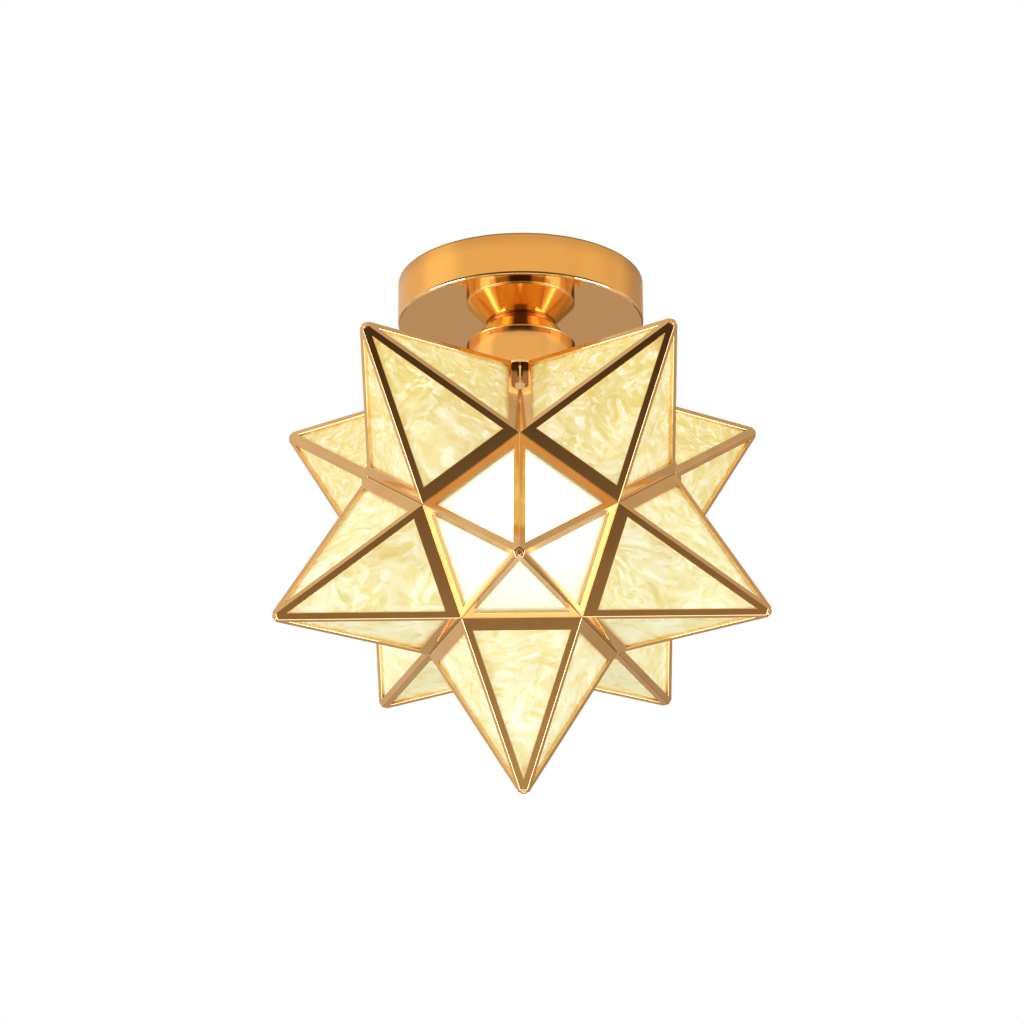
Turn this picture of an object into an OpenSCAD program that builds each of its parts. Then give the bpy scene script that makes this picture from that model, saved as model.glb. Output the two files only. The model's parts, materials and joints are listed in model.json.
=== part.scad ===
// Semi-flush ceiling light: a glass star under a round canopy.
// The origin is the centre of the ceiling plane, +Z up, and the light hangs below it.
// The star is a dodecahedron that carries a glass pyramid on every face but the top one,
// where the fitting goes in.

/* [Star] */
// Edge of each pyramid's five-sided base
star_edge = 58; // [54:1:72]
// Length cut off each sharp tip
tip_cut = 4.6; // [4.4:0.1:8]
// Radius of the round bead on each cut tip
bead_r = 1.7; // [1.2:0.1:2.2]
// Height of that bead
bead_h = 0.8; // [0.6:0.1:1.6]
// Rounding of that bead's edge
bead_round = 0.5; // [0.2:0.1:0.6]

/* [Frame strips] */
// Depth of the channel strips, from the outer face to the inner one
strip_depth = 4.8; // [4.6:0.1:5.6]
// Width of the strips along the ridges, on each face
ridge_w = 3.4; // [3.2:0.1:5]
// Width of the strips along the bases, on each face
base_w = 6.4; // [5.8:0.1:9]
// Thickness of the channel's outer lip, which stands proud of the glass
lip = 1.6; // [0.6:0.1:1.8]
// Gap between two frames where their bases meet
frame_gap = 0.1; // [0.06:0.02:0.2]

/* [Glass panes] */
// Thickness of the glass
glass_t = 2.2; // [1.8:0.1:2.4]
// Clearance round the glass in its channel
glass_gap = 0.1; // [0.05:0.05:0.15]
// How far the glass reaches behind a ridge strip
ridge_lap = 0.65; // [0.5:0.05:0.9]
// How far the glass reaches behind a base strip
base_lap = 1.3; // [0.8:0.1:1.4]

/* [Corner notches] */
// Width of the notch at each corner of the star's top
notch_w = 8.6; // [7:0.2:9]
// Length of the notch down the valley between two frames
notch_l = 23.4; // [16:0.2:24]

/* [Canopy] */
// Radius of the canopy
canopy_r = 62.5; // [58:0.5:75]
// Height of the canopy
canopy_h = 22.5; // [20:0.5:32]
// Thickness of the canopy's metal
canopy_t = 1.2; // [1:0.1:2]
// Rounding of its lower edge
canopy_round = 1.3; // [0.8:0.1:3]
// Rounding of the rim that meets the ceiling
rim_round = 0.5; // [0.2:0.1:0.6]

/* [Holder cup] */
// Height of the neck collar under the canopy
collar_h = 1.2; // [0.8:0.1:5]
// Radius of the neck collar
neck_r = 17.6; // [17.6:0.1:20]
// Thickness of the neck collar's wall
collar_wall = 2.5; // [2:0.1:4]
// Chamfer of the neck collar's edges
collar_edge = 0.3; // [0.1:0.1:0.6]
// Height of the cup
cup_h = 39.8; // [37:0.1:50]
// Radius of the cup's straight side
cup_r = 27.7; // [26.5:0.1:30]
// Height of its sloping shoulder
shoulder_h = 10; // [8:0.1:12]
// Rounding between shoulder and side
cup_round = 0.6; // [0.4:0.1:2.5]
// Depth of the crease above that rounding
crease_h = 0.3; // [0.1:0.1:0.6]
// Thickness of the cup's metal
cup_t = 1.2; // [0.8:0.1:1.6]

/* [Top fixing] */
// Thickness of the plate between cup and star
plate_t = 1.2; // [1:0.1:3]
// How far the plate's sharp outline reaches past the top opening's corners
plate_over = 3.7; // [3:0.1:6]
// How far its rounded corners reach past them
plate_corner = 1.7; // [1.4:0.1:2.4]
// Thickness of the ring inside the star's top opening
ring_t = 1.5; // [1:0.1:2.5]
// Radius of the opening that the bulb passes through
ring_open_r = 34; // [32:0.5:36]
// Distance of the studs from the opening's corners
stud_in = 1.8; // [1.6:0.1:2.4]
// Radius of the studs
stud_r = 1.25; // [1:0.05:1.3]
// Clearance of a stud in the tab that slides off it
stud_gap = 0.2; // [0.15:0.05:0.3]
// Radius of a stud's head
stud_head_r = 2.6; // [2.2:0.1:3]
// Height of a stud's head
stud_head_h = 1.6; // [1.2:0.1:2]
// Length of stud below the tabs' feet
stud_tail = 3.4; // [2.6:0.1:3.6]
// Thickness of the corner tabs
tab_t = 1.2; // [1:0.1:1.5]
// Width of the corner tabs
tab_w = 8.2; // [6:0.1:8.2]
// Depth of the tabs' feet below the star's top
tab_drop = 14.5; // [11:0.5:15]
// How far the feet reach past the studs
foot_reach = 3; // [2.5:0.1:3.2]
// Gap between a jam nut and its tab's upright
nut_gap = 0.2; // [0.1:0.1:0.5]
// Height of the jam nuts on the feet
jam_nut_h = 4; // [2:0.1:5]
// Half the distance across the flats of jam nuts, and radius of cap nuts
small_nut_r = 2.25; // [2:0.05:2.3]
// Height of the cap nuts below the feet
cap_nut_h = 4.6; // [4.2:0.1:6]

/* [Ceiling bracket] */
// Length of the bracket
bracket_l = 105; // [100:1:110]
// Width of the bracket
bracket_w = 22; // [20:1:26]
// Thickness of the bracket
bracket_t = 2; // [1.5:0.1:3]
// Distance between the centres of its two ceiling slots
slot_spacing = 76; // [70:1:80]
// End-to-end length of each slot
slot_l = 19; // [12:1:20]
// Half the width of each slot
slot_r = 2.25; // [2:0.05:2.6]
// Distance of the ground screw from the centre line, along the bracket
ground_x = 16; // [14:0.5:20]
// Distance of the ground screw from the centre line, across the bracket
ground_y = 6.5; // [5:0.5:7]
// Radius of the ground screw
ground_r = 2; // [1.5:0.1:2.2]
// Radius of its head
ground_head_r = 4; // [3:0.1:4.2]
// Height of its head
ground_head_h = 2.4; // [1.8:0.1:3]

/* [Threaded tube] */
// Radius of the threaded nipple
nipple_r = 4.85; // [4.5:0.05:5]
// Radius of the nipple's bore
nipple_bore_r = 3.6; // [3:0.1:3.8]
// Clearance of the nipple in canopy and cup
nipple_gap = 0.25; // [0.15:0.05:0.5]
// Distance across the flats of the nipple's nuts
nut_af = 14; // [13:0.5:16]
// Thickness of the nipple's nuts
nut_t = 3; // [2:0.1:3.5]
// How far the nipple reaches below the last nut
nipple_tail = 0.8; // [0.5:0.1:2]
// Clearance of threads, which are plain here
thread_gap = 0.05; // [0.02:0.01:0.1]

/* [Lampholder] */
// Radius of the ceramic lampholder
holder_r = 19.5; // [19:0.1:20.5]
// Height of the ceramic lampholder
holder_h = 30; // [28:0.5:34]
// Chamfer of its edges
holder_edge = 1; // [0.5:0.1:1.5]
// Distance from the cup's ceiling to the lampholder
holder_drop = 17.1; // [15.5:0.1:18]
// Thickness of the ceramic above the screw shell
holder_top = 4.5; // [4:0.1:6]
// Smallest radius inside the screw shell
shell_r = 13.2; // [13.15:0.05:13.4]
// Depth of the screw shell's rolled thread
thread_depth = 0.5; // [0.3:0.05:0.6]
// Pitch of the lamp thread
thread_pitch = 3.629; // [3:0.001:4]
// Thickness of the sheet in shell and cap
sheet_t = 0.45; // [0.3:0.05:0.5]
// Clearance of the shell in the ceramic
shell_gap = 0.2; // [0.1:0.1:0.5]
// Radius of the hole in the shell's top
shell_hole_r = 9; // [8:0.5:10]
// Distance from the shell's top to its first rib
rib_start = 2.5; // [2:0.1:3]
// Least length of plain shell below its last rib
shell_mouth = 1.5; // [1:0.1:3]
// Radius of the contact's disc
disc_r = 7; // [5:0.5:8]
// Thickness of the contact's disc
disc_t = 0.8; // [0.5:0.1:1]
// Radius of the centre contact
contact_r = 2.2; // [1.8:0.1:3]
// Height of the centre contact
contact_h = 2.2; // [2:0.1:3]
// Distance of a terminal screw from the middle, to the side
terminal_x = 6.4; // [6:0.1:7]
// Distance of a terminal screw from the middle, to the front
terminal_y = 13.2; // [12.8:0.1:13.6]
// Radius of a terminal screw
terminal_r = 1.5; // [1.2:0.1:1.6]
// Radius of its head
terminal_head_r = 3; // [2.5:0.1:3.2]
// Height of its head
terminal_head_h = 2; // [1.5:0.1:2.2]
// Depth of the small screws in the ceramic
screw_depth = 3; // [2:0.1:3.2]
// Clearance of the small screws in their holes
screw_gap = 0.1; // [0.05:0.05:0.2]

/* [Lampholder strap] */
// Gap between the cup's lock nut and the strap
strap_gap = 1.7; // [0:0.1:3]
// Width of the strap
strap_w = 11; // [10:0.5:14]
// Least metal left round the threaded tube's hole in the strap
strap_land = 0.5; // [0.4:0.1:0.6]
// Thickness of the strap
strap_t = 1.2; // [1:0.1:1.5]
// Distance of its legs' outer faces from the centre line
strap_reach = 13; // [12.5:0.1:13.4]
// Length of each foot outside its leg
strap_foot = 4.6; // [4.2:0.1:5]
// Radius of a strap screw
strap_screw_r = 1.25; // [1:0.05:1.5]
// Radius of its head
strap_head_r = 2.1; // [1.8:0.1:2.2]
// Height of its head
strap_head_h = 1.5; // [1.2:0.1:2]

/* [Shade ring] */
// Height of the shade ring under the plate
shade_ring_h = 6; // [4:0.5:8]
// Thickness of its wall round the lampholder
shade_ring_t = 2.2; // [1.5:0.1:3]
// Width of its flange under the plate
flange_w = 3.15; // [2:0.05:5]
// Thickness of the flange
flange_t = 2; // [1.5:0.1:3]
// Chamfer of the flange's edge
flange_edge = 0.5; // [0.2:0.1:0.8]
// Clearance between the lampholder and the ring and plate
shade_gap = 0.15; // [0.1:0.05:0.3]

/* [Bulb] */
// Length of the bulb from its contact to the end of the globe
bulb_l = 107.5; // [100:0.5:112]
// Radius of the globe
globe_r = 30; // [25:0.5:31]
// Height above the globe's centre at which it starts to narrow into the neck
ease_h = 13; // [10:0.5:16]
// Thickness of the globe's glass
globe_t = 0.9; // [0.7:0.1:1.2]
// How far the glass reaches into the cap
glass_in_cap = 2.4; // [2:0.1:4]
// Length of the cap with its contact
cap_l = 27; // [25:0.5:28]
// Clearance between the cap's thread and the screw shell
cap_gap = 0.2; // [0.15:0.05:0.3]
// Number of turns in the cap's thread
cap_turns = 4; // [3:1:4]
// Clearance between the glass and the cap
neck_gap = 0.25; // [0.15:0.05:0.4]
// Radius of the bulb's contact
tip_r = 3.6; // [3:0.1:4.5]
// Thickness of the bulb's contact
tip_h = 1.6; // [1.2:0.1:2]
// Radius of the black glass round the contact
insulator_r = 9; // [8:0.1:9.5]
// Height of the black glass
insulator_h = 4.8; // [4.4:0.1:6]
// Gap between the bulb's contact and the lampholder's
contact_gap = 0.2; // [0.1:0.05:0.4]
// Length of the glowing rods
rod_l = 30; // [24:1:34]
// Radius of the glowing rods
rod_r = 1; // [0.6:0.1:1.2]
// Angle at which they lean out
rod_lean = 22; // [10:1:24]

/* [Wires] */
// Radius of an insulated lead
lead_r = 1.1; // [0.9:0.05:1.2]
// Distance of the wire hole from the centre line
wire_hole_y = 12.2; // [12:0.1:12.6]
// Radius of the wire hole in canopy and cup
wire_hole_r = 3.9; // [3.6:0.1:4]
// Thickness of the bushings' wall and flange
bushing_t = 0.9; // [0.6:0.1:1]
// Width of the bushings' flange past the hole
bushing_lap = 0.7; // [0.4:0.1:1]
// Length of a wire connector
connector_l = 17; // [14:1:20]
// Radius of a wire connector's skirt
connector_r = 5; // [4.5:0.1:5.6]
// Radius of its mouth
connector_in_r = 1.6; // [1.4:0.1:2]
// Distance between the connectors
connector_step = 15; // [12:1:18]
// Distance of their mouths from the centre line
connector_y = 29; // [26:1:32]
// Distance of their mouths from the ceiling
connector_z = 11; // [8:0.5:12]

/* [Hidden] */
reach = 400;
lap = 0.5;
// Golden ratio, and the angles that follow from it
phi = (1 + sqrt(5)) / 2;
ring_lat = atan(0.5);
pyramid_slope = 90 - ring_lat;
mitre = atan(1 / phi);
tip_half = 18;
// Distance of a dodecahedron's face, its inner and outer radius, and the pyramid's heights
face_r = star_edge / 2 * sqrt((25 + 11 * sqrt(5)) / 10);
base_in_r = star_edge / (2 * tan(36));
base_out_r = star_edge / (2 * sin(36));
pyramid_h = base_in_r * tan(pyramid_slope);
slant_h = base_in_r / cos(pyramid_slope);
cut_z = face_r + pyramid_h - tip_cut;
// Channel that the glass sits in
channel_t = glass_t + 2 * glass_gap;
channel_ridge = ridge_w - ridge_lap - glass_gap;
channel_base = base_w - base_lap - glass_gap;

// Heights, from the ceiling down
collar_z = -canopy_h;
floor_z = collar_z + canopy_t;
cup_z = collar_z - collar_h;
cup_ceiling_z = cup_z - cup_t;
strap_z = cup_ceiling_z - nut_t - strap_gap;
nipple_end_z = strap_z - strap_t - nut_t - nipple_tail;
plate_z = cup_z - cup_h;
star_top_z = plate_z - plate_t;
foot_z = star_top_z - tab_drop;
stud_end_z = foot_z - tab_t - stud_tail;
star_z = star_top_z - face_r;
holder_z = cup_ceiling_z - holder_drop;
shell_z = holder_z - holder_top;
bulb_z = shell_z - contact_h - contact_gap;
globe_z = bulb_z - bulb_l + globe_r;

// Studs, and the tabs that they hold
stud_at = base_out_r - stud_in;
nut_corner_r = 1.08 * small_nut_r;
tab_face = stud_at - nut_corner_r - nut_gap;
tab_front = stud_at + foot_reach;

// Lampholder and bulb
plate_hole_r = holder_r + shade_gap;
nipple_hole_r = nipple_r + nipple_gap;
strap_screw_x = strap_reach + strap_foot / 2;
shell_h = holder_h - holder_top - holder_edge;
rib_z = shell_z - rib_start;
shell_turns = floor((shell_h - rib_start - shell_mouth) / thread_pitch);
crest_r = shell_r - cap_gap;
cap_bend = 1.4;
cap_flare = 0.3;
cap_in_r = crest_r - sheet_t - cap_flare;
shoulder_r = insulator_r + 0.6;
cap_top_z = bulb_z - insulator_h + sheet_t;
cap_end_z = bulb_z - cap_l;
neck_glass_r = cap_in_r - neck_gap;
neck_top = cap_end_z + glass_in_cap - globe_z;

// Colours
brass = [0.83, 0.58, 0.29];
shade_brass = [0.72, 0.5, 0.28];
cream_glass = [0.98, 0.9, 0.62];
steel = [0.7, 0.7, 0.72];
porcelain = [0.93, 0.92, 0.88];
clear_glass = [0.9, 0.93, 0.95];
glow = [1, 0.85, 0.5];
black = [0.1, 0.1, 0.1];
white = [0.92, 0.92, 0.9];
green = [0.22, 0.58, 0.27];
orange = [0.85, 0.45, 0.12];

// Shared shapes

// A tube that follows a list of points, with a ring of corners at each point
function unit(v) = v / norm(v);
function along(p, i) = unit(p[min(i + 1, len(p) - 1)] - p[max(i - 1, 0)]);
function side_of(d) = unit(cross(d, abs(d[0]) < 0.9 ? [1, 0.1, 0.05] : [0, 1, 0.1]));
module tube(p, r, sides = 8) {
    rings = [for (i = [0:len(p) - 1])
        let (d = along(p, i), s = side_of(d), t = cross(d, s))
        for (k = [0:sides - 1]) p[i] + r * (cos(360 * k / sides) * s + sin(360 * k / sides) * t)];
    walls = [for (i = [0:len(p) - 2], k = [0:sides - 1])
        let (a = i * sides + k, b = i * sides + (k + 1) % sides)
        each [[a, b, b + sides], [a, b + sides, a + sides]]];
    first = [for (k = [sides - 1:-1:0]) k];
    last = [for (k = [0:sides - 1]) (len(p) - 1) * sides + k];
    polyhedron(rings, concat([first, last], walls));
}
// Points of a smooth curve from a to c, drawn towards b
function bend(a, b, c, n = 6) = [for (i = [0:n]) let (t = i / n)
    (1 - t) * (1 - t) * a + 2 * t * (1 - t) * b + t * t * c];

function reversed(list) = [for (i = [len(list) - 1:-1:0]) list[i]];

// A quarter circle's points round a centre, from one angle to another
function arc(x, y, r, from, to, n = 6) = [for (i = [0:n])
    let (a = from + (to - from) * i / n) [x + r * cos(a), y + r * sin(a)]];

// A hole's cutter, from a little below z = 0 to a little above a height
module bore(r, h) {
    translate([0, 0, -lap]) cylinder(h = h + 2 * lap, r = r, $fn = 48);
}

module hex_nut(af, h, bore_r) {
    difference() {
        cylinder(h = h, r = af / 2 / cos(30), $fn = 6);
        bore(bore_r, h);
    }
}

module pan_head_screw(shank_r, head_r, head_h, length) {
    edge = 0.6;
    rotate_extrude($fn = 40) polygon(concat(
        [[0, -length], [shank_r, -length], [shank_r, 0], [head_r, 0]],
        arc(head_r - edge, head_h - edge, edge, 0, 90),
        [[0, head_h]]));
}

// Outline of a thread's closed ribs, from the top down
function ribs(r, turns) = [for (i = [0:turns * 8])
    [r + thread_depth * (1 - cos(45 * i)) / 2, -i * thread_pitch / 8]];

module at_corners() {
    for (i = [0:4]) rotate([0, 0, 72 * i]) children();
}
module at_studs(z) {
    at_corners() translate([0, -stud_at, z]) children();
}
module both_sides(x) {
    for (s = [-1, 1]) translate([s * x, 0, 0]) children();
}

// Star geometry: one pyramid, its axis along +Z and the star's centre at the origin

module at_star() { translate([0, 0, star_z]) children(); }

module on_point(azimuth, latitude, spin) {
    at_star() rotate([0, 0, azimuth]) rotate([90 - latitude, 0, 0]) rotate([0, 0, spin]) children();
}

module at_bottom() { on_point(0, -90, 180) children(); }
module at_lower(i) { on_point(72 * (i - 1), -ring_lat, 0) children(); }
module at_upper(i) { on_point(72 * (i - 1) + 36, ring_lat, 180) children(); }

// Origin at the middle of a base edge, +Y up the face and +Z out of it
module on_face(k) {
    rotate([0, 0, 72 * k]) translate([0, -base_in_r, face_r]) rotate([pyramid_slope, 0, 0]) children();
}

// A face's triangle, drawn in from its base and from its ridges
module face_outline(from_base, from_ridge) {
    top = slant_h - from_ridge / sin(tip_half);
    half = (top - from_base) * tan(tip_half);
    polygon([[-half, from_base], [half, from_base], [0, top]]);
}

// Everything under the five face planes, each moved in by a depth
module pyramid_space(depth) {
    intersection_for (k = [0:4])
        on_face(k) translate([-reach, -reach, -2 * reach - depth]) cube(2 * reach);
}

// Everything over the five planes through the star's centre and a base edge
module base_cone(gap) {
    intersection_for (k = [0:4])
        rotate([0, 0, 72 * k]) rotate([mitre, 0, 0]) translate([-reach, gap / 2, -reach]) cube(2 * reach);
}

module star_frame() {
    difference() {
        intersection() {
            pyramid_space(0);
            base_cone(frame_gap);
            translate([-reach, -reach, 0]) cube([2 * reach, 2 * reach, cut_z]);
        }
        pyramid_space(strip_depth);
        for (k = [0:4]) {
            on_face(k) translate([0, 0, -strip_depth - lap])
                linear_extrude(strip_depth + 2 * lap) face_outline(base_w, ridge_w);
            on_face(k) translate([0, 0, -lip - channel_t])
                linear_extrude(channel_t) face_outline(channel_base, channel_ridge);
        }
    }
}

module star_panes() {
    for (k = [0:4])
        on_face(k) translate([0, 0, -lip - glass_gap - glass_t])
            linear_extrude(glass_t) face_outline(base_w - base_lap, ridge_w - ridge_lap);
}

// A block along the valley that runs down from one corner of the star's top
module corner_notch(i) {
    valley = acos((phi - 1) * base_out_r / star_edge);
    at_star() rotate([0, 0, 72 * (i - 1)]) translate([0, -base_out_r, face_r]) rotate([valley, 0, 0])
        translate([-notch_w / 2, -notch_l, -3 * strip_depth])
            cube([notch_w, notch_l + 2 * strip_depth, 6 * strip_depth]);
}

// Star pieces

module frame_bottom() { color(brass) at_bottom() star_frame(); }
module frame_lower(i) { color(brass) at_lower(i) star_frame(); }
module frame_upper(i) {
    color(brass) difference() {
        at_upper(i) star_frame();
        corner_notch(i);
        corner_notch(i + 1);
    }
}
module panes_bottom() { color(cream_glass) at_bottom() star_panes(); }
module panes_lower(i) { color(cream_glass) at_lower(i) star_panes(); }
module panes_upper(i) { color(cream_glass) at_upper(i) star_panes(); }

module tip_bead() {
    translate([0, 0, cut_z]) rotate_extrude($fn = 32) polygon(concat(
        [[0, 0], [bead_r, 0]],
        arc(bead_r - bead_round, bead_h - bead_round, bead_round, 0, 90, 3),
        [[0, bead_h]]));
}

module tip_beads() {
    color(brass) {
        at_bottom() tip_bead();
        for (i = [1:5]) {
            at_lower(i) tip_bead();
            at_upper(i) tip_bead();
        }
    }
}

// Five-sided ring soldered inside the star's top opening, flat where a tab stands against it
module top_ring() {
    color(brass) difference() {
        at_star() intersection() {
            rotate([0, 0, 180]) base_cone(frame_gap);
            translate([-reach, -reach, face_r - ring_t]) cube([2 * reach, 2 * reach, ring_t]);
        }
        translate([0, 0, star_top_z - ring_t]) {
            bore(ring_open_r, ring_t);
            at_corners() translate([-reach / 2, -tab_face - reach, -lap])
                cube([reach, reach, ring_t + 2 * lap]);
        }
    }
}

// An angle under each corner of the ring, whose foot the stud passes through
module corner_tabs() {
    color(shade_brass) difference() {
        at_corners() translate([-tab_w / 2, 0, foot_z - tab_t]) {
            translate([0, -tab_face, 0]) cube([tab_w, tab_t, tab_drop + tab_t - ring_t]);
            translate([0, -tab_front, 0]) cube([tab_w, tab_front - tab_face + lap, tab_t]);
        }
        at_studs(foot_z - tab_t) bore(stud_r + stud_gap, tab_t);
    }
}

// Closed nuts under the feet, which hold the star up
module cap_nuts() {
    bottom_gap = 0.4;
    color(brass) at_studs(foot_z - tab_t) difference() {
        rotate_extrude($fn = 32) polygon(concat(
            [[0, 0], [small_nut_r, 0]],
            arc(0, small_nut_r - cap_nut_h, small_nut_r, 0, -90)));
        translate([0, 0, -stud_tail - bottom_gap])
            cylinder(h = stud_tail + 1, r = stud_r + stud_gap / 2, $fn = 32);
    }
}

// Fitting

module ceiling_bracket() {
    color(steel) translate([0, 0, -bracket_t]) difference() {
        translate([-bracket_l / 2, -bracket_w / 2, 0]) cube([bracket_l, bracket_w, bracket_t]);
        both_sides(slot_spacing / 2) {
            both_sides(slot_l / 2 - slot_r) bore(slot_r, bracket_t);
            translate([slot_r - slot_l / 2, -slot_r, -lap])
                cube([slot_l - 2 * slot_r, 2 * slot_r, bracket_t + 2 * lap]);
        }
        bore(nipple_r + thread_gap, bracket_t);
        translate([ground_x, ground_y, 0]) bore(ground_r + screw_gap, bracket_t);
    }
}

module ground_screw() {
    color(green) translate([ground_x, ground_y, -bracket_t]) mirror([0, 0, 1])
        pan_head_screw(ground_r, ground_head_r, ground_head_h, bracket_t);
}

module hanging_nipple() {
    color(steel) translate([0, 0, nipple_end_z]) difference() {
        cylinder(h = -nipple_end_z, r = nipple_r, $fn = 48);
        bore(nipple_bore_r, -nipple_end_z);
    }
}

module nipple_nut(top_z) {
    color(steel) translate([0, 0, top_z - nut_t]) hex_nut(nut_af, nut_t, nipple_r + thread_gap);
}
module bracket_nut() { nipple_nut(-bracket_t); }
module canopy_nut() { nipple_nut(floor_z + nut_t); }
module cup_lock_nut() { nipple_nut(cup_ceiling_z); }
module strap_nut() { nipple_nut(strap_z - strap_t); }

module wire_hole(h) {
    translate([0, -wire_hole_y, 0]) bore(wire_hole_r, h);
}

module canopy() {
    side_r = canopy_r - canopy_t;
    bend_in = 0.4;
    color(brass) translate([0, 0, collar_z]) difference() {
        rotate_extrude($fn = 128) polygon(concat(
            [[nipple_hole_r, 0], [nipple_hole_r, canopy_t]],
            [[side_r - bend_in, canopy_t], [side_r, canopy_t + bend_in], [side_r, canopy_h]],
            arc(canopy_r - rim_round, canopy_h - rim_round, rim_round, 90, 0, 3),
            arc(canopy_r - canopy_round, canopy_round, canopy_round, 0, -90)));
        wire_hole(canopy_t);
    }
}

module neck_collar() {
    in_r = neck_r - collar_wall;
    color(brass) translate([0, 0, cup_z]) rotate_extrude($fn = 96) polygon([
        [in_r, 0], [neck_r - collar_edge, 0], [neck_r, collar_edge],
        [neck_r, collar_h - collar_edge], [neck_r - collar_edge, collar_h], [in_r, collar_h]]);
}

// The cup's outline moved in by a wall's thickness, from its top down to its straight side
function cup_outline(t) = let (round_r = cup_r - cup_round - t, low = -shoulder_h - t / 2) concat(
    [[neck_r - 0.6 * t, -t], [round_r, low]],
    arc(round_r, low - crease_h - cup_round, cup_round, 75, 0, 5));

module holder_cup() {
    color(brass) translate([0, 0, cup_z]) difference() {
        rotate_extrude($fn = 96) polygon(concat(
            [[nipple_hole_r, 0]], cup_outline(0), [[cup_r, -cup_h], [cup_r - cup_t, -cup_h]],
            reversed(cup_outline(cup_t)), [[nipple_hole_r, -cup_t]]));
        translate([0, 0, -cup_t]) wire_hole(cup_t);
    }
}

// Lines a wire hole, its flange under z = 0 and its sleeve above
module wire_bushing(h) {
    sleeve_r = wire_hole_r - 0.1;
    in_r = sleeve_r - bushing_t;
    flange_r = wire_hole_r + bushing_lap;
    translate([0, -wire_hole_y, 0]) rotate_extrude($fn = 40) polygon([
        [in_r, -bushing_t], [flange_r, -bushing_t], [flange_r, 0],
        [sleeve_r, 0], [sleeve_r, h], [in_r, h]]);
}

module wire_bushings() {
    color(black) {
        translate([0, 0, floor_z]) mirror([0, 0, 1]) wire_bushing(canopy_t);
        translate([0, 0, cup_ceiling_z]) wire_bushing(cup_t);
    }
}

module socket_strap() {
    color(steel) difference() {
        union() {
            translate([-strap_reach, -strap_w / 2, strap_z - strap_t])
                cube([2 * strap_reach, strap_w, strap_t]);
            translate([0, 0, strap_z - strap_t])
                cylinder(h = strap_t, r = nipple_r + thread_gap + strap_land, $fn = 48);
            for (s = [0, 1]) mirror([s, 0, 0]) {
                translate([strap_reach - strap_t, -strap_w / 2, holder_z])
                    cube([strap_t, strap_w, strap_z - holder_z]);
                translate([strap_reach - strap_t, -strap_w / 2, holder_z])
                    cube([strap_t + strap_foot, strap_w, strap_t]);
            }
        }
        translate([0, 0, strap_z - strap_t]) bore(nipple_r + thread_gap, strap_t);
        translate([0, 0, holder_z]) both_sides(strap_screw_x) bore(strap_screw_r + screw_gap, strap_t);
    }
}

module strap_screws() {
    color(steel) translate([0, 0, holder_z + strap_t]) both_sides(strap_screw_x)
        pan_head_screw(strap_screw_r, strap_head_r, strap_head_h, strap_t + screw_depth);
}

module terminal_screws() {
    color(brass) translate([0, -terminal_y, holder_z]) both_sides(terminal_x)
        pan_head_screw(terminal_r, terminal_head_r, terminal_head_h, screw_depth);
}

module socket_body() {
    bore_r = shell_r + thread_depth + sheet_t + shell_gap;
    hole_h = screw_depth + screw_gap;
    color(porcelain) translate([0, 0, holder_z]) difference() {
        rotate_extrude($fn = 96) polygon([
            [0, 0], [holder_r - holder_edge, 0], [holder_r, -holder_edge],
            [holder_r, holder_edge - holder_h], [holder_r - holder_edge, -holder_h],
            [bore_r, -holder_h], [bore_r, -holder_top], [0, -holder_top]]);
        translate([0, 0, -hole_h]) {
            both_sides(strap_screw_x) cylinder(h = hole_h + lap, r = strap_screw_r + screw_gap, $fn = 32);
            translate([0, -terminal_y, 0]) both_sides(terminal_x)
                cylinder(h = hole_h + lap, r = terminal_r + screw_gap, $fn = 32);
        }
    }
}

// Rolled shell, open below, with its ribs pushed outwards
module screw_shell() {
    wave = ribs(shell_r, shell_turns);
    top = shell_z - rib_z - sheet_t;
    end = shell_z - rib_z - shell_h;
    color(brass) translate([0, 0, rib_z]) rotate_extrude($fn = 72) polygon(concat(
        wave, [[shell_r, end], [shell_r + sheet_t, end]],
        [for (p = reversed(wave)) p + [sheet_t, 0]],
        [[shell_r + sheet_t, top], [shell_hole_r, top]],
        [[shell_hole_r, top - sheet_t], [shell_r, top - sheet_t]]));
}

module centre_contact() {
    color(brass) translate([0, 0, shell_z - contact_h]) {
        cylinder(h = contact_h, r = contact_r, $fn = 32);
        translate([0, 0, contact_h - disc_t]) cylinder(h = disc_t, r = disc_r, $fn = 48);
    }
}

// Closes the gap round the lampholder, its flange against the plate
module shade_ring() {
    wall_r = plate_hole_r + shade_ring_t;
    flange_r = wall_r + flange_w;
    color(porcelain) translate([0, 0, star_top_z]) rotate_extrude($fn = 96) polygon([
        [plate_hole_r, -shade_ring_h], [wall_r, -shade_ring_h], [wall_r, -flange_t],
        [flange_r - flange_edge, -flange_t], [flange_r, flange_edge - flange_t], [flange_r, 0],
        [plate_hole_r, 0]]);
}

module cover_plate() {
    color(brass) difference() {
        translate([0, 0, star_top_z]) intersection() {
            rotate([0, 0, -90]) cylinder(h = plate_t, r = base_out_r + plate_over, $fn = 5);
            cylinder(h = plate_t, r = base_out_r + plate_corner, $fn = 96);
        }
        translate([0, 0, star_top_z]) bore(plate_hole_r, plate_t);
        at_studs(star_top_z) bore(stud_r + thread_gap, plate_t);
    }
}

module plate_studs() {
    color(brass) at_studs(plate_z) pan_head_screw(stud_r, stud_head_r, stud_head_h, plate_z - stud_end_z);
}

// Small hexagon nuts with their corners turned off
module jam_nuts() {
    color(brass) at_studs(foot_z) intersection() {
        hex_nut(2 * small_nut_r, jam_nut_h, stud_r + thread_gap);
        cylinder(h = jam_nut_h, r = nut_corner_r, $fn = 32);
    }
}

// Wiring

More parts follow.
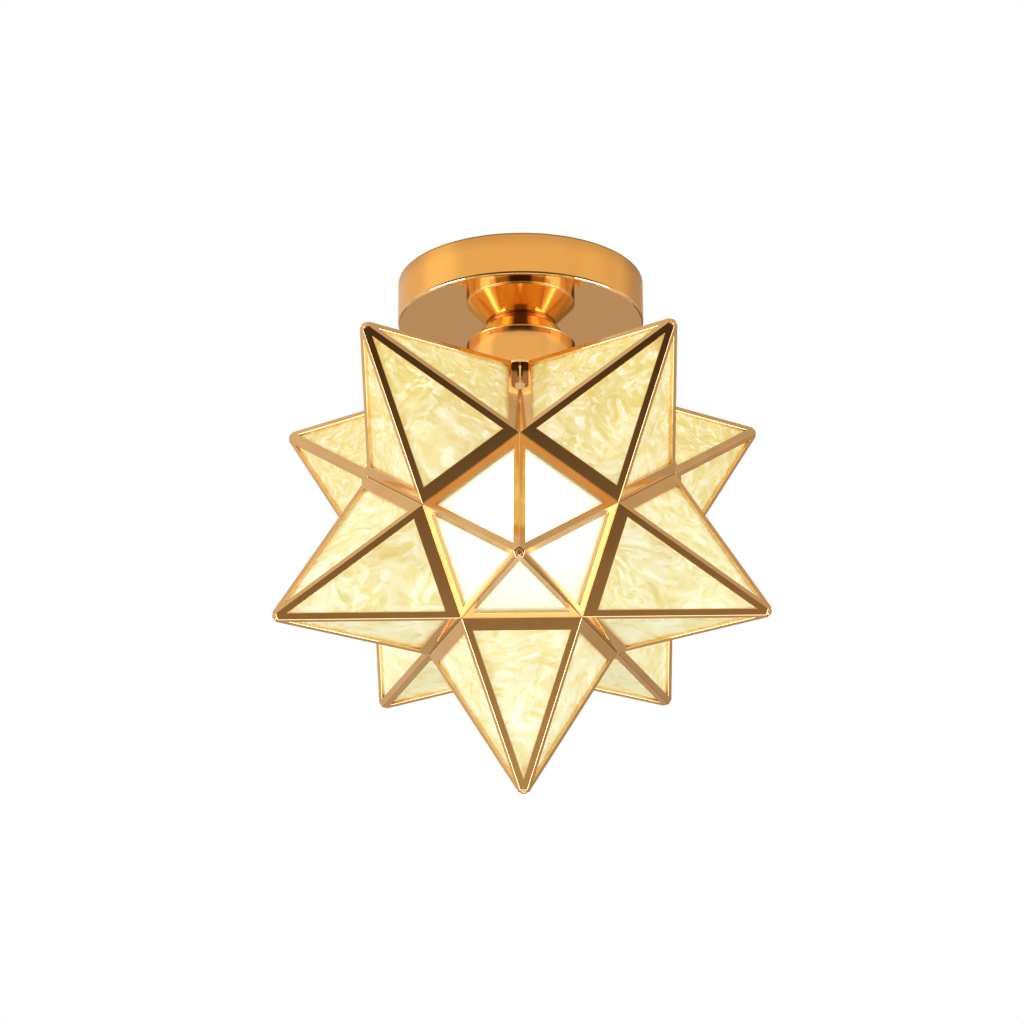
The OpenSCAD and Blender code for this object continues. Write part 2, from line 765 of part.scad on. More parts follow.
// A lead leaves its connector, passes the two bushings and ends beside a terminal screw
module lamp_lead(connector, s) {
    mouth = [connector * connector_step, -connector_y, -connector_z];
    hole_x = 1.45 * s;
    over = -connector_z - 3.5;
    screw = [s * (terminal_x - terminal_head_r - 1.4), -terminal_y, holder_z + lead_r + 0.15];
    tube(concat(
        [mouth - [0, 4, 0]],
        bend(mouth, mouth + [0, 5, 0], [3 * hole_x, -wire_hole_y - 7, over + 1.5]),
        bend([1.6 * hole_x, -wire_hole_y - 3, over], [hole_x, -wire_hole_y, over - 1],
             [hole_x, -wire_hole_y, collar_z + 2.5]),
        bend([hole_x, -wire_hole_y, cup_ceiling_z - 3], [hole_x, -wire_hole_y, cup_ceiling_z - 8],
             screw)), lead_r);
}

module live_wire() { color(black) lamp_lead(-1, -1); }
module neutral_wire() { color(white) lamp_lead(0, 1); }

// The ground lead leaves the last connector, swings round and ends beside the ground screw
module ground_wire() {
    mouth = [connector_step, -connector_y, -connector_z];
    screw = [ground_x, ground_y - ground_head_r - lead_r - 0.1, -bracket_t - lead_r - 0.2];
    turn_x = ground_x + 10;
    color(green) tube(concat(
        [mouth - [0, 4, 0]],
        bend(mouth, mouth + [0, 5, 0], [turn_x, -14, -8]),
        bend([turn_x, -10, -6.4], [turn_x - 2, -4, screw[2]], screw)), lead_r);
}

// Twist-on connectors, mouths towards the middle
module wire_connectors() {
    skirt = 3;
    step = 0.6;
    taper = 1.6;
    color(orange) for (c = [-1, 0, 1])
        translate([c * connector_step, -connector_y, -connector_z]) rotate([90, 0, 0])
            rotate_extrude($fn = 32) polygon([
                [connector_in_r, 0], [connector_r, 0], [connector_r, skirt],
                [connector_r - step, skirt + step],
                [connector_r - taper, connector_l - 1], [connector_r - taper - 1, connector_l],
                [0, connector_l], [0, 2 * skirt], [connector_in_r, 2 * skirt]]);
}

// Bulb

module bulb_contact() {
    color(steel) translate([0, 0, bulb_z]) rotate_extrude($fn = 40) polygon([
        [0, 0], [tip_r - tip_h, 0], [tip_r, -tip_h / 2], [tip_r, -tip_h], [0, -tip_h]]);
}

module bulb_insulator() {
    hole_r = tip_r + 0.1;
    under = -tip_h - 0.1;
    color(black) translate([0, 0, bulb_z]) rotate_extrude($fn = 48) polygon([
        [hole_r, 0.5 + under], [hole_r + 2, under], [insulator_r, 0.8 - insulator_h],
        [insulator_r, -insulator_h], [0, -insulator_h], [0, under], [hole_r, under]]);
}

// Thin cap: a shoulder round the black glass, the thread's ribs and a skirt that flares at its end
module bulb_cap() {
    cap_rib_z = rib_z - 2 * thread_pitch;
    wave = [for (p = ribs(crest_r - thread_depth, cap_turns)) p + [0, cap_rib_z]];
    color(steel) rotate_extrude($fn = 72) polygon(concat(
        [[insulator_r + 0.1, cap_top_z], [shoulder_r, cap_top_z]], wave,
        [[crest_r - cap_flare, cap_end_z + cap_bend], [crest_r, cap_end_z],
         [crest_r - sheet_t, cap_end_z], [cap_in_r, cap_end_z + cap_bend]],
        [for (p = reversed(wave)) p - [sheet_t, 0]],
        [[shoulder_r, cap_top_z - sheet_t], [insulator_r + 0.1, cap_top_z - sheet_t]]));
}

// Radius of the globe at a height above its centre, easing into the neck
function globe_at(h) = h < ease_h ? sqrt(globe_r * globe_r - h * h)
    : let (rise = neck_top - ease_h, t = (h - ease_h) / rise,
           start = sqrt(globe_r * globe_r - ease_h * ease_h), slope = -ease_h / start * rise)
      (2 * t * t * t - 3 * t * t + 1) * start + (t * t * t - 2 * t * t + t) * slope
      + (3 * t * t - 2 * t * t * t) * neck_glass_r;
function globe_outline(t, top) = concat(
    arc(0, 0, globe_r - t, -90, 0, 10),
    [for (i = [1:3]) let (h = ease_h * i / 3) [globe_at(h) - t, h]],
    [for (i = [1:12]) let (h = ease_h + (top - ease_h) * i / 12) [globe_at(h) - t, h]]);

module bulb_globe() {
    stem_z = neck_top - globe_t;
    color(clear_glass) translate([0, 0, globe_z]) rotate_extrude($fn = 72) polygon(concat(
        globe_outline(0, neck_top), [[0, neck_top], [0, stem_z]],
        reversed(globe_outline(globe_t, stem_z))));
}

// Glass stem, wide where it joins the neck, with a small button at its lower end
module bulb_stem() {
    stem_z = neck_top - globe_t;
    color(clear_glass) translate([0, 0, globe_z]) rotate_extrude($fn = 40) polygon([
        [0, stem_z], [7, stem_z], [6, stem_z - 5], [3, stem_z - 15], [2.2, 10], [3, 6], [0, 4]]);
}

// Four straight lighting rods, leaning out from the stem
module bulb_filaments() {
    color(glow) translate([0, 0, globe_z])
        for (k = [0:3]) rotate([0, 0, 90 * k + 45]) translate([3.8, 0, ease_h]) rotate([0, -rod_lean, 0])
            translate([0, 0, -rod_l]) cylinder(h = rod_l, r = rod_r, $fn = 24);
}

ceiling_bracket();
ground_screw();
hanging_nipple();
bracket_nut();
canopy_nut();
canopy();
neck_collar();
holder_cup();
cup_lock_nut();
wire_bushings();
socket_strap();
strap_nut();
strap_screws();
socket_body();
screw_shell();
centre_contact();
terminal_screws();
shade_ring();
cover_plate();
plate_studs();
jam_nuts();
live_wire();
neutral_wire();
ground_wire();
wire_connectors();
bulb_contact();
bulb_insulator();
bulb_cap();
bulb_globe();
bulb_stem();
bulb_filaments();
top_ring();
corner_tabs();
cap_nuts();
tip_beads();
frame_bottom();
panes_bottom();
for (i = [1:5]) frame_lower(i);
for (i = [1:5]) frame_upper(i);
for (i = [1:5]) panes_lower(i);
for (i = [1:5]) panes_upper(i);
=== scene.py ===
"""A star-shaped semi-flush ceiling light, lit from inside, on plain white."""
import json
import math

import bmesh
import bpy
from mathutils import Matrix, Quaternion, Vector


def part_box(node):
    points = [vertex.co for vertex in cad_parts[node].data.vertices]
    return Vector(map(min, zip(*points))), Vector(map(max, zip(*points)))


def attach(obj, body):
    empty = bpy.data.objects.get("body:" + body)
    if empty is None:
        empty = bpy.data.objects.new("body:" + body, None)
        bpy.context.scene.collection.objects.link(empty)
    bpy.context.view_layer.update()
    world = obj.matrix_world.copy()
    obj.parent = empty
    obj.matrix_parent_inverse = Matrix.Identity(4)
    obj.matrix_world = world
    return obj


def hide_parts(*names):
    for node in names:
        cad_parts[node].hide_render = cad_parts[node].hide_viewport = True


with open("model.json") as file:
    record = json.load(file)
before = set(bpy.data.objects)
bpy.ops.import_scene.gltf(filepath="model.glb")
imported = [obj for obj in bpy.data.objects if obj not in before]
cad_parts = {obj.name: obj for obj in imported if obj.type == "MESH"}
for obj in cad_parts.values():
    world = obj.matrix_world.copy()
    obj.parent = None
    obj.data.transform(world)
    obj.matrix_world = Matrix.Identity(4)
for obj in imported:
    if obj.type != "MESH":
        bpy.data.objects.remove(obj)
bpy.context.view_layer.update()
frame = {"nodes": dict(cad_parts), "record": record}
nodes = frame["nodes"]
MM = 0.001
BLACK = (0, 0, 0, 1)
WHITE = (1, 1, 1, 1)


# Places that the finishes and the camera need, from the frame
def star_centre():
    """Middle of the star: halfway between the lowest and the highest point of its ten side pyramids."""
    boxes = [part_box(f"frame_{row}_{i}") for row in ("lower", "upper") for i in range(1, 6)]
    lowest = min(low.z for low, high in boxes)
    highest = max(high.z for low, high in boxes)
    return Vector((0, 0, (lowest + highest) / 2))


centre = star_centre()
canopy_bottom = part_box("canopy")[0].z
cup_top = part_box("holder_cup")[1].z
globe_bottom = min(vertex.co.z for vertex in nodes["bulb_globe"].data.vertices)


def direction_from(azimuth, elevation):
    """Unit vector to a place round the object. Azimuth 0 is the front and 90 its right, in degrees."""
    turn, tilt = math.radians(azimuth), math.radians(elevation)
    return Vector((math.sin(turn) * math.cos(tilt), -math.cos(turn) * math.cos(tilt), math.sin(tilt)))


# Camera, at the photograph's place below the light
CAMERA_AZIMUTH = 0.611
CAMERA_ELEVATION = -20.833
CAMERA_DISTANCE = 1.709
CAMERA_ROLL = -0.372
CAMERA_LENS = 120.57
CAMERA_SENSOR = 36
FRAMING_SHIFT = (-0.0098, 0.0093)


def make_camera():
    back = direction_from(CAMERA_AZIMUTH, CAMERA_ELEVATION)
    data = bpy.data.cameras.new("camera")
    data.sensor_width = CAMERA_SENSOR
    data.lens = CAMERA_LENS
    data.shift_x, data.shift_y = FRAMING_SHIFT
    camera = bpy.data.objects.new("camera", data)
    camera.location = centre + CAMERA_DISTANCE * back
    camera.rotation_mode = "QUATERNION"
    roll = Quaternion((0, 0, 1), math.radians(CAMERA_ROLL))
    camera.rotation_quaternion = back.to_track_quat("Z", "Y") @ roll
    bpy.context.scene.collection.objects.link(camera)
    bpy.context.scene.camera = camera


# Shader maths
class Shade:
    """A socket of a node tree. Python's operators on it add Math nodes, and node() adds any other."""

    def __init__(self, tree, socket=None):
        self.tree = tree
        self.socket = socket

    def node(self, kind, values=None, out=0, **settings):
        """A node of a kind, its settings, then its sockets' values or links, by name or number."""
        made = self.tree.nodes.new(kind)
        for name, value in settings.items():
            setattr(made, name, value)
        for name, value in (values or {}).items():
            if isinstance(value, Shade):
                self.tree.links.new(value.socket, made.inputs[name])
            else:
                made.inputs[name].default_value = value
        return Shade(self.tree, made.outputs[out])

    def maths(self, operation, *values):
        return self.node("ShaderNodeMath", dict(enumerate(values)), operation=operation)

    def vectors(self, operation, *values, out=0):
        return self.node("ShaderNodeVectorMath", dict(enumerate(values)), out=out, operation=operation)

    def __add__(self, other):
        return self.maths("ADD", self, other)

    def __sub__(self, other):
        return self.maths("SUBTRACT", self, other)

    def __rsub__(self, other):
        return self.maths("SUBTRACT", other, self)

    def __mul__(self, other):
        return self.maths("MULTIPLY", self, other)

    __radd__ = __add__
    __rmul__ = __mul__

    def between(self, low, high):
        """0 below low and 1 above high, with a smooth step between. high may be the smaller."""
        return self.node("ShaderNodeMapRange", {"Value": self, "From Min": low, "From Max": high},
                         interpolation_type="SMOOTHSTEP")

    def band(self, rise, top, fall, end):
        """1 from top to fall, with a smooth step up from rise before it and down to end after it."""
        return self.between(rise, top) * self.between(end, fall)

    def mix(self, low, high):
        """A colour from low to high, by this value."""
        return self.node("ShaderNodeMix", {0: self, 6: low, 7: high}, out=2, data_type="RGBA")

    def scaled(self, factor):
        """A vector times a number."""
        return self.node("ShaderNodeVectorMath", {0: self, "Scale": factor}, operation="SCALE")

    def axis(self, name):
        return self.node("ShaderNodeSeparateXYZ", {0: self}, out="XYZ".index(name))

    def noise(self, place, scale, detail=3.0, roughness=0.5, out=0):
        return self.node("ShaderNodeTexNoise",
                         {"Vector": place, "Scale": scale, "Detail": detail, "Roughness": roughness}, out=out)

    def bump(self, height, strength, distance):
        return self.node("ShaderNodeBump", {"Strength": strength, "Distance": distance, "Height": height})


def linear(red, green, blue):
    """A colour that is written as the screen shows it, 0 to 255, for a shader's socket."""
    def one(value):
        value /= 255
        return value / 12.92 if value <= 0.04045 else ((value + 0.055) / 1.055) ** 2.4
    return (one(red), one(green), one(blue), 1)


# Studio: plain white to the camera, soft panels round the object for what polished metal mirrors
PANELS = [
    # azimuth (0 is the camera's side, 90 its right), elevation, half width, half height, soft edge, strength
    (0, -19, 26, 17, 9, -0.93),
    (180, -15, 40, 32, 20, -0.42),
    (142, 8, 24, 38, 12, -0.3),
    (-138, -4, 28, 24, 12, -0.06),
    (110, 58, 60, 28, 15, -0.34),
    (-110, 58, 60, 28, 15, -0.16),
    (-82, 25, 18, 16, 10, 0.35),
    (72, 25, 14, 16, 10, 0.12),
    (-50, -18, 11, 8, 5, 1.6),
    (50, -18, 11, 8, 5, 1.0),
    (-76, -35, 18, 8, 4, 8.0),
    (76, -35, 18, 8, 4, 7.0),
    (-114, -12, 7, 7, 3, -0.6),
    (114, -13, 7, 7, 3, -0.5),
    (-150, -29, 9, 7, 3, -0.4),
    (150, -29, 9, 7, 3, -0.4),
    (0, -74, 181, 17, 6, 2.2),
]
STUDIO_LEVEL = 0.95
DARKEST_LEVEL = 0.07
SKY_LEVEL = 0.58
# Colours of the dark, the plain and the brightest parts of the studio
UMBER = (1.0, 0.74, 0.44, 1)
WARM = (1.0, 0.92, 0.80, 1)
GLARE = (1.0, 1.05, 1.3, 1)
PLAIN_LEVELS = (0.0, 1.0)
GLARE_LEVELS = (1.5, 4.0)


def make_world():
    world = bpy.data.worlds.new("studio")
    bpy.context.scene.world = world
    world.use_nodes = True
    world.node_tree.nodes.clear()
    shade = Shade(world.node_tree)
    direction = shade.node("ShaderNodeTexCoord", out=0)
    x, y, z = (direction.axis(name) for name in "XYZ")
    azimuth = shade.maths("ARCTAN2", x, 0 - y) * math.degrees(1)
    elevation = shade.maths("ARCSINE", z) * math.degrees(1)
    level = STUDIO_LEVEL
    for turn, height, half_width, half_height, soft, strength in PANELS:
        aside = shade.maths("ABSOLUTE", shade.maths("WRAP", azimuth - turn, 180.0, -180.0))
        above = shade.maths("ABSOLUTE", elevation - height)
        across = aside.between(half_width + soft, half_width - soft)
        upward = above.between(half_height + soft, half_height - soft)
        level = across * upward * strength + level
    level = shade.maths("MAXIMUM", level, DARKEST_LEVEL)
    tint = level.between(*GLARE_LEVELS).mix(level.between(*PLAIN_LEVELS).mix(UMBER, WARM), GLARE)
    rays = shade.tree.nodes.new("ShaderNodeLightPath").outputs
    camera_ray = Shade(shade.tree, rays["Is Camera Ray"])
    glossy_ray = Shade(shade.tree, rays["Is Glossy Ray"])
    sky = shade.node("ShaderNodeBackground", {"Color": WHITE, "Strength": SKY_LEVEL})
    panels = shade.node("ShaderNodeBackground", {"Color": tint, "Strength": level})
    white = shade.node("ShaderNodeBackground", {"Color": WHITE, "Strength": 1.0})
    mixed = shade.node("ShaderNodeMixShader", {0: glossy_ray, 1: sky, 2: panels})
    mixed = shade.node("ShaderNodeMixShader", {0: camera_ray, 1: mixed, 2: white})
    output = shade.tree.nodes.new("ShaderNodeOutputWorld")
    shade.tree.links.new(mixed.socket, output.inputs["Surface"])


# Materials
def material(name, values):
    """A new material with one Principled shader. values gives its sockets, from object coordinates."""
    made = bpy.data.materials.new(name)
    made.use_nodes = True
    tree = made.node_tree
    tree.nodes.clear()
    shade = Shade(tree)
    place = shade.node("ShaderNodeTexCoord", out=3)
    surface = shade.node("ShaderNodeBsdfPrincipled", values(shade, place))
    output = tree.nodes.new("ShaderNodeOutputMaterial")
    tree.links.new(surface.socket, output.inputs["Surface"])
    return made


# Metals
GOLD = (0.86, 0.55, 0.25, 1)
GOLD_DEEP = (0.82, 0.50, 0.21, 1)
PAN_GOLD = (0.92, 0.54, 0.28, 1)
SATIN_GOLD = (0.84, 0.41, 0.09, 1)
SATIN_PALE = (0.90, 0.47, 0.13, 1)
CUP_GOLD = (0.76, 0.40, 0.12, 1)
# Painted light: the cup's shoulder gets a lighter copy of the cup's gold
SHOULDER_LIT_GOLD = (1.0, 0.76, 0.32, 1)
# Painted highlight along the cup's rim
RIM_HIGHLIGHT_GOLD = (1.0, 0.88, 0.62, 1)
# Painted shade: the strips' lip walls beside the glass are near black
WALL_SHADE_GOLD = (0.10, 0.05, 0.02, 1)
# Painted shade: the neck collar is darker, for the shadow between the canopy and the cup
COLLAR_SHADED_GOLD = (0.42, 0.16, 0.04, 1)
# Painted shade: the corner tabs are dark, for the shade inside the notches
TAB_SHADED_GOLD = (0.36, 0.17, 0.06, 1)
SHADED_GOLD = (0.48, 0.30, 0.155, 1)


def polished_gold(shade, place):
    cloud = shade.noise(place, 45, 2)
    fine = shade.noise(place, 900, 2)
    return {
        "Base Color": cloud.between(0.35, 0.7).mix(GOLD_DEEP, GOLD),
        "Metallic": 1.0,
        "Roughness": 0.05 + fine * 0.05,
        "Normal": shade.bump(cloud, 0.05, 0.2 * MM),
    }


# Heights above the canopy's lower edge, and depths below the ceiling: the ends of each smooth step, for the
# painted dark reflection line, the satin side and the painted shade at the top
REFLECTION_LINE_HEIGHTS = (0.6 * MM, 0.8 * MM, 1.4 * MM, 1.6 * MM)
SATIN_START = (1.1 * MM, 1.4 * MM)
TOP_SHADE = (-9 * MM, -1 * MM)
TOP_SHADE_LINE = (-1.2 * MM, -0.6 * MM)
# The painted dark line, which stands in for a dark reflection on the edge's rounding, shows only on the
# canopy's front, between these places
REFLECTION_LINE_FRONT = (-36 * MM, -54 * MM)


def canopy_gold(shade, place):
    """Satin side, with painted shade at the top and a painted dark reflection along the front's lower edge,
    and a mirror underside.
    """
    above_edge = place.axis("Z") - canopy_bottom
    below_ceiling = place.axis("Z")
    front = place.axis("Y").between(*REFLECTION_LINE_FRONT)
    # painted dark reflection: a dark line along the front's lower edge
    painted_dark_reflection = front * above_edge.band(*REFLECTION_LINE_HEIGHTS)
    side = above_edge.between(*SATIN_START)
    # painted shade: darker towards the ceiling, with a darker line at the top edge
    shaded = below_ceiling.between(*TOP_SHADE) * 0.2 + below_ceiling.between(*TOP_SHADE_LINE) * 0.4
    cloud = shade.noise(place, 20, 2)
    satin = shaded.mix(cloud.mix(SATIN_GOLD, SATIN_PALE), BLACK)
    return {
        "Base Color": (painted_dark_reflection * 0.88).mix(side.mix(cloud.mix(PAN_GOLD, GOLD), satin), BLACK),
        "Metallic": 1.0,
        "Roughness": 0.04 + side * 0.18,
    }


# Depths below the cup's top: the ends of each smooth step, for the painted lighter shoulder, the painted rim
# highlight and the painted shade under the rim
SHOULDER_END = (9.5 * MM, 10.5 * MM)
RIM_HIGHLIGHT_DEPTHS = (9.7 * MM, 9.9 * MM, 10.9 * MM, 11.2 * MM)
SHADE_DEPTHS = (10.9 * MM, 11.3 * MM, 13.6 * MM, 14.4 * MM)
SHADE_FRONT = (-22.6 * MM, -23.6 * MM)


def cup_gold(shade, place):
    """Spun metal with painted light: a lighter shoulder, a highlight along the rim, and a shaded band under
    its front.
    """
    below = cup_top - place.axis("Z")
    shaded = below.band(*SHADE_DEPTHS) * place.axis("Y").between(*SHADE_FRONT)
    cloud = shade.noise(place, 30, 2)
    # painted light: the shoulder is lighter than the side
    gold = below.between(*SHOULDER_END).mix(SHOULDER_LIT_GOLD, cloud.mix(CUP_GOLD, SATIN_PALE))
    return {
        # painted highlight on the rim, and painted shade in the band under it
        "Base Color": (shaded * 0.5).mix(below.band(*RIM_HIGHLIGHT_DEPTHS).mix(gold, RIM_HIGHLIGHT_GOLD), BLACK),
        "Metallic": 1.0,
        "Roughness": 0.1 + cloud * 0.05,
    }


def make_dark_gold(colour, roughness):
    """Gold of one colour, a little lighter in clouds."""
    lighter = tuple(1.15 * part for part in colour[:3]) + (1,)

    def values(shade, place):
        cloud = shade.noise(place, 60, 2)
        return {
            "Base Color": cloud.mix(colour, lighter),
            "Metallic": 1.0,
            "Roughness": roughness + cloud * 0.06,
        }
    return values


# Art glass: the size of the patches in which strokes run one way, and the strokes' width, for two layers
FEATHER_LAYERS = ((38 * MM, 3.6 * MM), (27 * MM, 2.8 * MM))
STROKE_STRETCH = 9
DRIFT = 0.035
FULL_TURN = 6.3
# Heights over the star's middle where the yellow deepens: painted shade, as the lampholder shades the upper
# pyramids
UPPER_SHADE_HEIGHTS = (-10 * MM, 30 * MM)
# Direction from the star's middle to the front point, and how near to it the glass turns pale: painted light
# of the bulb shining through the front pyramid
FRONT_POINT = (0.0, -0.894, -0.447)
FRONT_NEARNESS = (0.80, 0.88)
# Cream, honey, milk, sand, white and tan
GLASS_DYES = ((239, 239, 218), (231, 218, 150), (245, 246, 231),
              (230, 218, 152), (251, 253, 246), (222, 206, 134))
# Colours of the glass's own glow: painted light, for the bulb's light through the panes
PAINTED_GLOW_COLOURS = ((231, 232, 188), (224, 206, 116), (239, 240, 204),
             (217, 204, 120), (249, 251, 226), (207, 187, 100))


def feathers(shade, place, patch_size, stroke):
    """Fine strokes that run straight inside each patch of space, every patch in its own direction."""
    turn = shade.node("ShaderNodeTexVoronoi", {"Vector": place, "Scale": 1 / patch_size}, out=1)
    middle = Shade(shade.tree, turn.socket.node.outputs["Position"])
    inside = shade.vectors("SUBTRACT", place, middle)
    turned = shade.node("ShaderNodeVectorRotate", {"Vector": inside, "Rotation": turn.scaled(FULL_TURN)},
                        rotation_type="EULER_XYZ")
    along = shade.node("ShaderNodeMapping", {"Vector": turned, "Scale": (1, 1, STROKE_STRETCH)},
                       vector_type="TEXTURE")
    return shade.noise(along, 1 / stroke, 3, 0.6)


def star_glass(shade, place):
    """Cream art glass with feathery strokes and a painted glow, with painted shade making the upper pyramids
    more yellow and painted light making the front one paler.
    """
    drift = shade.noise(place, 35, 2, out=1).scaled(DRIFT)
    bent = shade.vectors("ADD", place, drift)
    wide, narrow = (feathers(shade, bent, *layer) for layer in FEATHER_LAYERS)
    patch = shade.noise(place, 60, 2).between(0.46, 0.54)
    strokes = wide * patch + narrow * (1 - patch)
    high = place.axis("Z").between(*(centre.z + height for height in UPPER_SHADE_HEIGHTS))
    # random yellow tone, and painted shade that deepens the yellow upwards
    amber_and_shade = shade.noise(bent, 28, 3).between(0.42, 0.62) * 0.4 + high * 0.8
    outward = shade.vectors("NORMALIZE", shade.vectors("SUBTRACT", place, tuple(centre)))
    # painted light: the glass turns paler near the front point, where the bulb shines straight through
    pale = shade.vectors("DOT_PRODUCT", outward, FRONT_POINT, out=1).between(*FRONT_NEARNESS) * 0.65
    mottle = shade.noise(bent, 110, 3, 0.6)
    masks = (mottle.between(0.48, 0.68) * 0.6, mottle.between(0.5, 0.34) * 0.6,
             strokes.between(0.5, 0.64) * 0.9, strokes.between(0.5, 0.36) * 0.6)

    # The colour by the dye masks, with the painted shade of the upper pyramids and the painted light of the
    # front one
    def dyed_and_lit(dyes):
        cream, honey, *strewn = (linear(*dye) for dye in dyes)
        colour = amber_and_shade.mix(cream, honey)
        for mask, dye in zip(masks, strewn):
            colour = mask.mix(colour, dye)
        white = strewn[2]
        return pale.mix(colour, white)
    return {
        "Base Color": dyed_and_lit(GLASS_DYES),
        "Roughness": 0.3,
        "IOR": 1.5,
        "Transmission Weight": 0.45,
        # painted glow: the panes emit light of their own, standing in for the bulb's light through them
        "Emission Color": dyed_and_lit(PAINTED_GLOW_COLOURS),
        "Emission Strength": 0.27,
        "Coat Weight": 0.35,
        "Coat Roughness": 0.06,
        "Normal": shade.bump(strokes, 0.3, 0.8 * MM),
    }


# Inner pieces
def make_plain(low, high, roughness, metallic=0.0, coat=0.0, scale=180):
    """A finish that wanders a little between two colours, with slightly uneven gloss."""
    def values(shade, place):
        grain = shade.noise(place, scale, 3)
        return {
            "Base Color": grain.mix(low, high),
            "Metallic": metallic,
            "Roughness": roughness + grain * 0.1,
            "Coat Weight": coat,
            "Normal": shade.bump(grain, 0.08, 0.2 * MM),
        }
    return values


def zinc(shade, place):
    grain = shade.noise(place, 260, 3)
    return {
        "Base Color": grain.mix(linear(176, 178, 182), linear(206, 207, 208)),
        "Metallic": 1.0,
        "Roughness": 0.24 + grain * 0.16,
    }


# Heights above the globe's lowest point: the neck is dim above the first, the globe glows below the second
GLOW_HEIGHTS = (56 * MM, 48 * MM)


def lamp_glass(shade, place):
    """Frosted bulb glass that glows, dimmer on its neck."""
    cloud = shade.noise(place, 30, 2)
    lit = (place.axis("Z") - globe_bottom).between(*GLOW_HEIGHTS)
    frosted = cloud.mix(linear(255, 250, 236), linear(255, 253, 246))
    glowing = cloud.mix(linear(212, 234, 255), linear(220, 238, 255))
    return {
        "Base Color": lit.mix(linear(208, 194, 170), frosted),
        "Roughness": 0.3,
        "Emission Color": lit.mix(linear(66, 54, 38), glowing),
        "Emission Strength": 5.5,
        "Coat Weight": 0.5,
    }


def glow(shade, place):
    cloud = shade.noise(place, 400, 2)
    return {
        "Base Color": cloud.mix(linear(255, 214, 130), linear(255, 232, 170)),
        "Roughness": 0.5,
        "Emission Color": cloud.mix(linear(255, 200, 110), linear(255, 222, 150)),
        "Emission Strength": 8.0,
    }


FINISHES = {
    "polished_brass": polished_gold,
    "cream_glass": star_glass,
    "zinc_steel": zinc,
    "green_screw": make_plain(linear(32, 104, 52), linear(48, 132, 70), 0.3, metallic=0.6),
    "contact_brass": make_plain(linear(205, 165, 92), linear(222, 186, 116), 0.26, metallic=1.0),
    "porcelain": make_plain(linear(238, 235, 226), linear(246, 244, 238), 0.16, coat=0.5),
    "white_phenolic": make_plain(linear(228, 225, 215), linear(238, 235, 226), 0.35),
    "black_plastic": make_plain(linear(18, 18, 19), linear(30, 30, 32), 0.5),
    "orange_plastic": make_plain(linear(214, 104, 28), linear(230, 122, 40), 0.38),
    "black_insulation": make_plain(linear(16, 16, 17), linear(28, 28, 30), 0.42),
    "white_insulation": make_plain(linear(222, 222, 216), linear(236, 236, 230), 0.42),
    "green_insulation": make_plain(linear(40, 118, 52), linear(58, 140, 66), 0.42),
    "lamp_metal": make_plain(linear(196, 194, 190), linear(214, 212, 206), 0.22, metallic=1.0),
    "black_glass": make_plain(linear(10, 10, 14), linear(18, 18, 24), 0.1, coat=0.4),
    "bulb_glass": lamp_glass,
    "lamp_rods": glow,
}
# Nodes with a finish of their own
OWN_FINISH = {
    "canopy": canopy_gold,
    "holder_cup": cup_gold,
    # painted shade on the neck collar
    "neck_collar": make_dark_gold(COLLAR_SHADED_GOLD, 0.2),
    # painted shade on the corner tabs in the notches
    "corner_tabs": make_dark_gold(TAB_SHADED_GOLD, 0.2),
    # painted highlight: the jam nuts are pale cream, so that they read bright in the dark notch
    "jam_nuts": make_plain(linear(250, 228, 178), linear(255, 242, 208), 0.25, metallic=0.35, coat=0.4),
}


def finish_nodes():
    made = {slot: material(slot, values) for slot, values in FINISHES.items()}
    for part in frame["record"]["subparts"]:
        name = part["node"]
        finish = material(name, OWN_FINISH[name]) if name in OWN_FINISH else made[part["material_slot"]]
        for i in range(len(nodes[name].data.materials)):
            nodes[name].data.materials[i] = finish
    return made


# Frames: the channel strips again, with their edges rounded
RIDGE_ROUND = 1.1 * MM
RIDGE_STEPS = 3
EDGE_ROUND = 0.4 * MM
EDGE_STEPS = 2
WELD_REACH = 0.001 * MM
FLAT_ANGLE = math.radians(1)
EDGE_ANGLE = math.radians(30)
SQUARE = (math.radians(85), math.radians(95))
SAME_REACH = 0.1 * MM
# Places in the strips' list of materials
PLAIN, WALL_SHADE, SHADED = 0, 1, 2
# The pyramid whose lower strips are shaded, and how far their faces look down at least
SHADED_FRAME = "frame_lower_1"
LOOKS_DOWN = -0.3


def outer_faces(mesh):
    """The strips' outer faces: for each way that faces look, those furthest from the star's middle."""
    looks = {}
    for face in mesh.faces:
        key = tuple(round(part, 1) for part in face.normal)
        reach = (face.calc_center_median() - centre).dot(face.normal)
        looks.setdefault(key, []).append((reach, face))
    outer = set()
    for found in looks.values():
        furthest = max(reach for reach, face in found)
        outer.update(face for reach, face in found if reach > furthest - SAME_REACH)
    return outer


def round_edges(mesh, edges, width, steps):
    made = bmesh.ops.bevel(mesh, geom=edges, offset=width, segments=steps, profile=0.5, affect="EDGES",
                           clamp_overlap=True, material=-1)
    for face in made["faces"]:
        face.material_index = PLAIN


